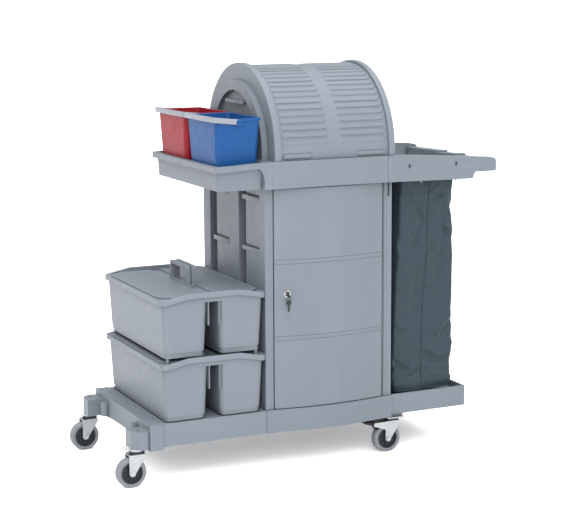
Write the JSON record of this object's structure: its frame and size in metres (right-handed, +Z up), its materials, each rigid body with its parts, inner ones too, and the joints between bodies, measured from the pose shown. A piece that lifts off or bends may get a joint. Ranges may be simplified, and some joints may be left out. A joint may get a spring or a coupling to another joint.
{
  "type": "janitor cart",
  "caption": "Janitor cart with lockable bowed-door cabinet, roll-top hood, bucket tray with lift-out pails, stacked lidded caddies, hanging waste bag and swivel casters.",
  "frame": {"origin": "centre of the bounding box on the floor, wheels trailing to -X", "axes": "+X from the caddy end to the bag end, -Y the door side, +Z up"},
  "size_m": [1.399, 0.596, 1.3569],
  "materials": {
    "body_plastic": "moulded, fine satin grain",
    "hood_plastic": "moulded, satin, ribbed",
    "caddy_plastic": "moulded, satin",
    "bail_plastic": "moulded, satin",
    "blue_plastic": "moulded, semi-gloss",
    "red_plastic": "moulded, semi-gloss",
    "bag_cloth": "coated woven polyester",
    "zinc_steel": "zinc plated",
    "wheel_hub": "moulded",
    "tyre": "grey rubber",
    "brake_pedal": "moulded",
    "lock_metal": "bright nickel",
    "key_bow": "moulded bow on a steel blade"
  },
  "bodies": {
    "cart_frame": {"end_beam": "body_plastic", "caddy_deck": "body_plastic", "cabinet_base": "body_plastic", "bag_tray": "body_plastic", "base_screws": "body_plastic", "caster_stems": "zinc_steel", "caster_plates": "zinc_steel", "left_wall": "body_plastic", "right_wall": "body_plastic", "left_post": "body_plastic", "right_post": "body_plastic", "back_panel": "body_plastic", "shelves": "body_plastic", "hinge_pins": "zinc_steel", "bucket_tray": "body_plastic", "top_deck": "body_plastic", "bag_frame": "body_plastic", "frame_hooks": "body_plastic", "bag_clips": "body_plastic", "hood_arch_left": "hood_plastic", "hood_arch_right": "hood_plastic", "hood_rear": "hood_plastic", "bag": "bag_cloth"},
    "caster_fl": {"fork_fl": "zinc_steel", "axle_fl": "zinc_steel"},
    "wheel_fl": {"hub_fl": "wheel_hub", "tyre_fl": "tyre"},
    "caster_bl": {"fork_bl": "zinc_steel", "axle_bl": "zinc_steel"},
    "wheel_bl": {"hub_bl": "wheel_hub", "tyre_bl": "tyre"},
    "caster_fr": {"fork_fr": "zinc_steel", "axle_fr": "zinc_steel"},
    "wheel_fr": {"hub_fr": "wheel_hub", "tyre_fr": "tyre"},
    "caster_br": {"fork_br": "zinc_steel", "axle_br": "zinc_steel"},
    "wheel_br": {"hub_br": "wheel_hub", "tyre_br": "tyre"},
    "pedal_fr": {"brake_fr": "brake_pedal"},
    "pedal_br": {"brake_br": "brake_pedal"},
    "door_leaf": {"door": "body_plastic", "lock_barrel": "lock_metal"},
    "lock": {"lock_plug": "lock_metal", "lock_cam": "lock_metal", "key": "key_bow"},
    "hanging_key": {"spare_key": "key_bow"},
    "shutter": {"hood_shutter": "hood_plastic"},
    "pail_blue": {"bucket_blue": "blue_plastic"},
    "handle_bail_blue": {"bail_blue": "bail_plastic"},
    "pail_red": {"bucket_red": "red_plastic"},
    "handle_bail_red": {"bail_red": "bail_plastic"},
    "lower_caddy": {"caddy_lower": "caddy_plastic", "handle_lower": "caddy_plastic"},
    "lower_lid_left": {"lid_lower_left": "caddy_plastic"},
    "lower_lid_right": {"lid_lower_right": "caddy_plastic"},
    "upper_caddy": {"caddy_upper": "caddy_plastic", "handle_upper": "caddy_plastic"},
    "upper_lid_left": {"lid_upper_left": "caddy_plastic"},
    "upper_lid_right": {"lid_upper_right": "caddy_plastic"}
  },
  "joints": [
    {"name": "swivel_fl", "type": "hinge", "parent": "cart_frame", "child": "caster_fl", "pos_m": [-0.6275, -0.243, 0.112], "axis": [0, 0, 1], "continuous": true},
    {"name": "roll_fl", "type": "hinge", "parent": "caster_fl", "child": "wheel_fl", "pos_m": [-0.6495, -0.243, 0.05], "axis": [0, 1, 0], "continuous": true},
    {"name": "swivel_bl", "type": "hinge", "parent": "cart_frame", "child": "caster_bl", "pos_m": [-0.6275, 0.243, 0.112], "axis": [0, 0, 1], "continuous": true},
    {"name": "roll_bl", "type": "hinge", "parent": "caster_bl", "child": "wheel_bl", "pos_m": [-0.6495, 0.243, 0.05], "axis": [0, 1, 0], "continuous": true},
    {"name": "swivel_fr", "type": "hinge", "parent": "cart_frame", "child": "caster_fr", "pos_m": [0.3175, -0.243, 0.112], "axis": [0, 0, 1], "continuous": true},
    {"name": "roll_fr", "type": "hinge", "parent": "caster_fr", "child": "wheel_fr", "pos_m": [0.2955, -0.243, 0.05], "axis": [0, 1, 0], "continuous": true},
    {"name": "swivel_br", "type": "hinge", "parent": "cart_frame", "child": "caster_br", "pos_m": [0.3175, 0.243, 0.112], "axis": [0, 0, 1], "continuous": true},
    {"name": "roll_br", "type": "hinge", "parent": "caster_br", "child": "wheel_br", "pos_m": [0.2955, 0.243, 0.05], "axis": [0, 1, 0], "continuous": true},
    {"name": "brake_press_fr", "type": "hinge", "parent": "caster_fr", "child": "pedal_fr", "pos_m": [0.2455, -0.243, 0.1035], "axis": [0, -1, 0], "range_deg": [0, 20]},
    {"name": "brake_press_br", "type": "hinge", "parent": "caster_br", "child": "pedal_br", "pos_m": [0.2455, 0.243, 0.1035], "axis": [0, -1, 0], "range_deg": [0, 20]},
    {"name": "door_swing", "type": "hinge", "parent": "cart_frame", "child": "door_leaf", "pos_m": [0.2605, -0.263, 0.209], "axis": [0, 0, 1], "range_deg": [0, 110]},
    {"name": "lock_turn", "type": "hinge", "parent": "door_leaf", "child": "lock", "pos_m": [-0.0985, -0.27751, 0.6], "axis": [0, -1, 0], "range_deg": [0, 90]},
    {"name": "key_swing", "type": "hinge", "parent": "lock", "child": "hanging_key", "pos_m": [-0.0985, -0.28901, 0.595], "axis": [-1, 0, 0], "range_deg": [0, 60]},
    {"name": "shutter_roll", "type": "hinge", "parent": "cart_frame", "child": "shutter", "pos_m": [0.0765, 0, 1.066], "axis": [-1, 0, 0], "range_deg": [0, 64]},
    {"name": "lift_blue", "type": "slide", "parent": "cart_frame", "child": "pail_blue", "axis": [0, 0, 1], "range_m": [0, 0.25]},
    {"name": "bail_swing_blue", "type": "hinge", "parent": "pail_blue", "child": "handle_bail_blue", "pos_m": [-0.2645, -0.1365, 1.177], "axis": [0, 1, 0], "range_deg": [0, 110]},
    {"name": "lift_red", "type": "slide", "parent": "cart_frame", "child": "pail_red", "axis": [0, 0, 1], "range_m": [0, 0.25]},
    {"name": "bail_swing_red", "type": "hinge", "parent": "pail_red", "child": "handle_bail_red", "pos_m": [-0.2645, 0.1365, 1.177], "axis": [0, 1, 0], "range_deg": [0, 110]},
    {"name": "lift_lower_caddy", "type": "slide", "parent": "cart_frame", "child": "lower_caddy", "axis": [0, 0, 1], "range_m": [0, 0.08]},
    {"name": "lift_upper_caddy", "type": "slide", "parent": "lower_caddy", "child": "upper_caddy", "axis": [0, 0, 1], "range_m": [0, 0.11]},
    {"name": "lift_lower_lid_left", "type": "slide", "parent": "lower_caddy", "child": "lower_lid_left", "axis": [0, 0, 1], "range_m": [0, 0.055]},
    {"name": "lift_lower_lid_right", "type": "slide", "parent": "lower_caddy", "child": "lower_lid_right", "axis": [0, 0, 1], "range_m": [0, 0.055]},
    {"name": "lift_lid_left", "type": "slide", "parent": "upper_caddy", "child": "upper_lid_left", "axis": [0, 0, 1], "range_m": [0, 0.05]},
    {"name": "lift_lid_right", "type": "slide", "parent": "upper_caddy", "child": "upper_lid_right", "axis": [0, 0, 1], "range_m": [0, 0.05]}
  ],
  "couplings": [
    {"joint": "lift_lower_lid_left", "follows": "lift_upper_caddy", "ratio": 0.5},
    {"joint": "lift_lower_lid_right", "follows": "lift_upper_caddy", "ratio": 0.5}
  ]
}
